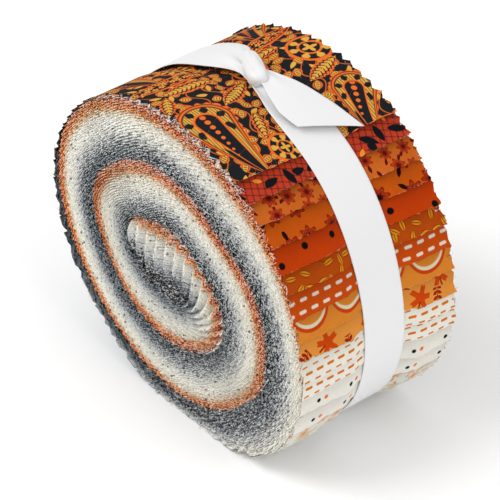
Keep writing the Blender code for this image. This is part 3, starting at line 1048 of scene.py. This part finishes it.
def paired_dots(paint):
    """Pairs of small dots, one dark and one bright."""
    u, v = paint.place
    x = u.repeat(2.5, 9.0)
    y = v.repeat(-8.6, 13.0)
    paint.first(hypot(x, y + 1.45).below(0.75, 0.3))
    paint.second(hypot(x, y - 1.45).below(0.75, 0.3))


def lay_drop(paint, x, y, length, width):
    """A bent drop in bands: fringe, dark line, hatched filling with holes, dark heart."""
    f, along = drop(x, y, length, width, width * 0.55)
    fringe = lobes(x, y, 20).times_plus(0.05, 1.1)
    paint.first((f / fringe).below(1.0, 0.06))
    paint.ground(f.between(0.99, 1.04, 0.05))
    paint.ground(f.below(0.9, 0.05))
    filling = f.below(0.84, 0.05)
    paint.second(filling)
    hatching = paint.place[1].repeat(0, 0.9).size().below(0.16)
    paint.ground(hatching * filling * 0.75)
    holes = lobes(x, y, 7) - (f - 0.68).size() * 6.0
    paint.ground(holes.above(-0.15, 0.35))
    paint.first(f.below(0.52, 0.05))
    paint.ground(f.below(0.43, 0.05))
    spot = hypot(x.repeat(0, 2.5), y) / (along * -1.0 + 1.0)
    paint.first(spot.below(0.95) * f.below(0.4, 0.1))


def lay_long_leaf(paint, x, y, length, width):
    """A long leaf with a bright rim, filled with small blossoms."""
    f = leaf(x, y, length, width)
    paint.first(f.below(1.0, 0.1))
    paint.ground(f.between(0.68, 0.78, 0.08))
    inside = f.below(0.68, 0.08)
    a, b, pick = scatter(paint, 2.2, 9)
    r = flower(a, b, 5, 0.3)
    paint.ground(r.above(0.98, 0.3) * inside)
    paint.second(r.below(0.84, 0.3) * inside * pick.above(0.35, 0.01))
    paint.ground(r.below(0.3) * inside)


def lay_scaled_leaf(paint, x, y, length, width):
    """A leaf with a scaled rim and ribs."""
    f = leaf(x, y, length, width) + x.repeat(0, 1.6).size() * 0.22
    paint.first(f.below(1.12, 0.15))
    paint.ground(f.between(0.62, 0.8, 0.12))
    paint.second(f.below(0.58, 0.12))
    ribs = (x + y.size() * 0.8).repeat(0, 1.6).size().below(0.24, 0.25)
    paint.ground(ribs * f.between(0.1, 0.95, 0.12))


def lay_ring(paint, x, y, radius):
    """A flower in a dark ring, with a small flower in its middle."""
    r = hypot(x, y)
    paint.first(r.below(radius, 0.25))
    paint.ground(r.between(radius * 0.52, radius * 0.87, 0.25))
    bloom = lobes(x, y, 7) * 1.6 + (r - radius * 0.7).size()
    paint.second(bloom.below(0.35, 0.8) * r.below(radius * 0.85))
    paint.ground(r.below(radius * 0.42, 0.25))
    paint.second(flower(x, y, 4, 0.5).below(radius * 0.24, 0.3))


# The paisley's larger motifs, repeated along the strip: the place of each along the strip
# and across it, which way it points, and its length and half-width or its radius
PAISLEY_REPEAT = 54.0
PAISLEYS = (
    (lay_drop, 23.0, -22.8, 181, 25.0, 8.6),
    (lay_drop, 15.0, 6.0, 12, 22.0, 7.6),
    (lay_drop, 13.0, 25.0, 205, 20.0, 6.8),
    (lay_long_leaf, 49.5, -17.0, 92, 16.0, 3.6),
    (lay_long_leaf, 50.0, 20.0, 78, 15.0, 3.8),
    (lay_scaled_leaf, 42.0, -15.5, 96, 9.5, 3.1),
    (lay_scaled_leaf, 30.5, -6.5, 60, 8.0, 2.8),
    (lay_scaled_leaf, 24.5, 22.5, 70, 7.5, 2.8),
    (lay_scaled_leaf, 43.5, 13.5, 100, 6.5, 2.4),
    (lay_scaled_leaf, 15.0, -9.5, 20, 6.0, 2.3),
    (lay_scaled_leaf, 1.5, 5.0, 60, 6.5, 2.5),
    (lay_scaled_leaf, 36.5, -27.0, 30, 5.5, 2.4),
    (lay_ring, 35.5, 26.5, 0, 7.6),
    (lay_ring, 38.5, 5.5, 0, 5.8),
    (lay_ring, 4.5, -8.0, 0, 5.6),
)


def paisley(paint):
    """Bent drops, long leaves and flower rings on a ground strewn with small leaves."""
    u, v = paint.place
    stems = v + (u * 0.55).sum("SINE") * 1.7
    paint.first(stems.repeat(0, 5.8).size().below(0.2) * 0.8)
    x, y, pick = scatter(paint, 4.0, 1, 0.7)
    f = leaf(x, y, 2.0, 1.15)
    outlined = pick.below(0.65, 0.01)
    paint.first(f.below(1.3, 0.25) * outlined)
    paint.ground(f.between(0.72, 0.92, 0.15) * outlined)
    paint.second(f.below(0.68, 0.25) * pick.below(0.9, 0.01))
    veins = x.repeat(0, 0.8).size().below(0.14, 0.15)
    paint.ground(veins * f.below(0.45) * outlined)
    for lay_motif, at_u, at_v, points, *size in PAISLEYS:
        x, y = turned_by(u.repeat(at_u, PAISLEY_REPEAT), v - at_v, points)
        lay_motif(paint, x, y, *size)


# What each strip is printed with, from the outermost on: its print, and the colours of
# its ground and of its motifs
# The grounds of the second to ninth strips are set a little darker than their cloth: partly painted
# shade
STRIPS = (
    (paisley, "1d2024 f4722a e8ac48"), (lattice, "bf3c22 121418 ee8f24"),
    (rosettes, "c86420 9e260e 5c100c"), (large_rosettes, "c4540c 8c2008 200a0a"),
    (sparse_dots, "bf3c04 0d0c0e 0d0c0e"), (sprigs, "b44808 dc8a18 742608"),
    (dashes, "c54a08 e2d6c6 e2d6c6"), (crescents, "da842c e0dbba ca3e08"),
    (leaves, "e4923c 9c2208 d04608"), (dash_rows, "f0ecdf d97408 d97a12"),
    (dash_rows, "f2eee3 d97408 d97a12"), (paired_dots, "eeeadf 12161a ee7430"),
    (paired_dots, "efebe1 1a1e22 ee8446"), (rosettes, "e2e2d8 e8b489 d9a06c"),
    (leaves, "e9e6da cfcdc0 dcc9a8"), (sparse_dots, "eceade 6f7174 6f7174"),
    (dashes, "e6e4d9 b9b9b2 b9b9b2"), (sprigs, "e2e0d5 c6c4b8 bdbbb0"),
    (crescents, "dedccf f2efe4 c9b48c"), (paired_dots, "d9d8cd 55585e 8b8c8a"),
    (rosettes, "d2d2c9 a9aaa6 8f918f"), (leaves, "c9cac4 a0a3a3 e4e2d6"),
    (sparse_dots, "c0c1bd 4c5058 4c5058"), (dashes, "adb0b0 dcdcd2 dcdcd2"),
    (sprigs, "9b9fa2 74797f c8c9c4"), (rosettes, "8a8f95 5b6068 b6b8b8"),
    (crescents, "777d85 c9cac6 a5a8aa"), (leaves, "686e78 484d58 8f949b"),
    (paired_dots, "575d69 c5c7c6 c98a50"), (sparse_dots, "4b515e b4b7ba b4b7ba"),
    (lattice, "434957 20242e 6c7380"), (dashes, "3d4351 aeb2b7 aeb2b7"),
    (sprigs, "383e4c 646b79 8b909a"), (rosettes, "343a48 5a6170 20242e"),
    (leaves, "303643 505765 6f7683"), (crescents, "2d323f a0a4aa 6c7380"),
    (sparse_dots, "2a2f3b c6c8c8 c6c8c8"), (lattice, "2f3542 191c24 5d6370"),
    (paired_dots, "262a35 9ea2a8 b8763f"), (sprigs, "242832 4b515e 6d737e"),
)


# Materials


def new_material(name, roughness, gloss, sheen=0.0):
    material = bpy.data.materials.new(name)
    material.use_nodes = True
    shader = material.node_tree.nodes["Principled BSDF"]
    feed(shader, {"Roughness": roughness, "Specular IOR Level": gloss, "Sheen Weight": sheen})
    return material, material.node_tree, shader


def noise(tree, size, detail=1.0):
    """Smooth noise in the model's space, its lumps about that many millimetres."""
    place = add_node(tree, "TexCoord", {})["Object"]
    inputs = {"Scale": 1 / (size * MM), "Detail": detail, "Vector": place}
    return Term(tree, add_node(tree, "TexNoise", inputs)["Fac"])


def finish(shader, shade, height, strength, distance):
    """The shader's colour, and its bumps in millimetres."""
    inputs = {"Strength": strength, "Distance": distance * MM, "Height": height}
    bumps = add_node(shader.id_data, "Bump", inputs)
    feed(shader, {"Base Color": shade, "Normal": bumps["Normal"]})


def weave(u, v, pitch):
    """The height of a plain weave's threads."""
    across = (u * (2 * math.pi / pitch)).sum("SINE")
    along = (v * (2 * math.pi / pitch)).sum("SINE")
    return across * along


# The cut edges: millimetres between their fine threads, between loose ones and between
# stray specks
FINE_THREADS = 0.42
LOOSE_THREADS = 0.9
SPECK_GAP = 2.4

# Where the noise's value makes dark and light flecks, and how near its middle a speck
# ends: each with the width of its soft edge
DARK_FLECKS = (0.455, 0.06)
LIGHT_FLECKS = (0.55, 0.05)
SPECK_SIZE = (0.18, 0.06)

# Their colours: a tint of the cloth, its share of raw white, and a shade
DARK_TINT = (0.11, 0.09, 0.10)
LIGHT_WHITE = 0.78
SPECK_SHADE = "2a2e33"


def edge_material():
    """Cut threads: the stored shade, flecked light and dark, with stray dark specks."""
    material, tree, shader = new_material("pinked cotton edges", 0.95, 0.08)
    stored = add_node(tree, "VertexColor", {}, layer_name="cloth")
    fleck = Term(tree, stored["Alpha"])
    fine = noise(tree, FINE_THREADS)
    loose = noise(tree, LOOSE_THREADS)
    dark = (fine * 0.7 + loose * 0.3).below(*DARK_FLECKS) * fleck
    deep = tinted(tree, stored["Color"], DARK_TINT)
    shade = mix_colours(tree, dark, stored["Color"], deep)
    light = (fine * 0.6 + loose * 0.4).above(*LIGHT_FLECKS) * fleck * 0.9
    pale = mix_colours(tree, fleck * LIGHT_WHITE, stored["Color"], colour(RAW_WHITE))
    shade = mix_colours(tree, light, shade, pale)
    place = add_node(tree, "TexCoord", {})["Object"]
    specks = add_node(tree, "TexVoronoi", {"Scale": 1 / (SPECK_GAP * MM), "Vector": place})
    speck = Term(tree, specks["Distance"]).below(*SPECK_SIZE) * 0.8
    shade = mix_colours(tree, speck, shade, colour(SPECK_SHADE))
    finish(shader, shade, fine, 0.5, 0.25)
    return material


# The strips' printed sides: the weave's pitch, and how strongly each is shaded past its end,
# where its cut edge turns down, and further back, towards the strip above
WEAVE_PITCH = 0.42
END_SHADED = (-0.2, 0.1)
END_SHADE = 0.6
UNDER_SHADED = (5.5, 7.0)
UNDER_SHADE = 0.45

# The satin
SATIN_PITCH = 0.3
SATIN_WHITE = (0.71, 0.71, 0.715)


def print_material(strip):
    """A strip's printed side: its print, shaded by threads and by the strip above."""
    lay_print, codes = STRIPS[strip]
    name = f"cotton {strip + 1:02d} {lay_print.__name__}".replace("_", " ")
    material, tree, shader = new_material(name, 0.9, 0.05, 0.01)
    paint = Paint(tree, codes)
    lay_print(paint)
    u, v = paint.place
    raw = u.below(0.1) * noise(tree, 0.7).above(0.58, 0.15) * 0.3
    shade = mix_colours(tree, raw, paint.top, dyed(RAW_WHITE))
    tone = noise(tree, 6.0, 3.0).sum("MULTIPLY_ADD", 0.3, -0.06, clamp=True)
    tone += noise(tree, 0.45).below(0.5, 0.3) * 0.14
    tone += u.below(*END_SHADED) * END_SHADE
    if strip:
        tone += u.above(*UNDER_SHADED) * UNDER_SHADE
    shade = mix_colours(tree, tone, shade, tinted(tree, shade, (0.5, 0.5, 0.5)))
    finish(shader, shade, weave(u, v, WEAVE_PITCH) * 0.5 + noise(tree, 1.4, 2.0), 0.25, 0.12)
    return material


def satin_material():
    """White satin, its fine threads and slow unevenness in its bumps."""
    material, tree, shader = new_material("white satin", 0.38, 0.4, 0.05)
    threads = weave(*cloth_place(tree), SATIN_PITCH) * 0.3 + noise(tree, 5.0, 2.0)
    finish(shader, SATIN_WHITE, threads, 0.2, 0.15)
    return material


# The room, in metres

FLOOR_REACH = 3.0
FLOOR_DEPTH = 0.0003
FLOOR_SHADE = (0.93, 0.93, 0.93)
WORLD_STRENGTH = 0.75
LIGHT_AIM = (0, 0, 0.05)

# The lights: name, place, size, power
LIGHTS = (
    ("key", (-0.5, -0.9, 1.3), 0.9, 14),
    ("fill", (1.3, 0.2, 0.9), 1.0, 7),
)


def make_camera():
    camera = bpy.data.cameras.new("camera")
    camera.lens = CAMERA_LENS
    camera.sensor_width = CAMERA_SENSOR
    camera.clip_start = 0.01
    camera.clip_end = 20.0
    holder = add_object("camera", camera)
    azimuth = math.radians(CAMERA_AZIMUTH)
    elevation = math.radians(CAMERA_ELEVATION)
    back = (
        math.sin(azimuth) * math.cos(elevation),
        -math.cos(azimuth) * math.cos(elevation),
        math.sin(elevation),
    )
    holder.location = [
        (aim + CAMERA_DISTANCE * b) * MM for aim, b in zip(CAMERA_AIM, back)
    ]
    holder.rotation_euler = (math.radians(90) - elevation, 0, azimuth)
    bpy.context.scene.camera = holder


def make_light(name, place, size, power):
    light = bpy.data.lights.new(name, "AREA")
    light.shape = "SQUARE"
    light.size = size
    light.energy = power
    holder = add_object(name, light)
    holder.location = place
    holder.rotation_mode = "QUATERNION"
    aim = Vector(LIGHT_AIM) - Vector(place)
    holder.rotation_quaternion = aim.to_track_quat("-Z", "Y")


def make_room():
    """A pale floor, a white world, a soft light from the left and a fill from the right."""
    mesh = bpy.data.meshes.new("floor")
    corners = [(-1, -1), (1, -1), (1, 1), (-1, 1)]
    points = [(x * FLOOR_REACH, y * FLOOR_REACH, -FLOOR_DEPTH) for x, y in corners]
    mesh.from_pydata(points, [], [(0, 1, 2, 3)])
    floor = add_object("floor", mesh)
    material, _, shader = new_material("pale floor", 0.9, 0.3)
    feed(shader, {"Base Color": FLOOR_SHADE})
    mesh.materials.append(material)
    world = bpy.data.worlds.new("studio")
    world.use_nodes = True
    feed(world.node_tree.nodes["Background"], {"Color": (1, 1, 1), "Strength": WORLD_STRENGTH})
    bpy.context.scene.world = world
    for light in LIGHTS:
        make_light(*light)


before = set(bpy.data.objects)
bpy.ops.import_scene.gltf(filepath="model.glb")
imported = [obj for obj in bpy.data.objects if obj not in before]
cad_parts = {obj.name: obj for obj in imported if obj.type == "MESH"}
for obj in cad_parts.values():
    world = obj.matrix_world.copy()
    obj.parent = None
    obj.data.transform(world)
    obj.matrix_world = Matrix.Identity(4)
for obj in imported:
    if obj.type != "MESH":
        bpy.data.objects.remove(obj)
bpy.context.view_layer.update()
bpy.context.scene.view_settings.view_transform = "Standard"
make_camera()
make_room()
edges = edge_material()
make_faces(edges)
make_threads(edges)
make_strips()
satin = satin_material()
make_band(satin, make_knot(satin))
make_free_end(satin)
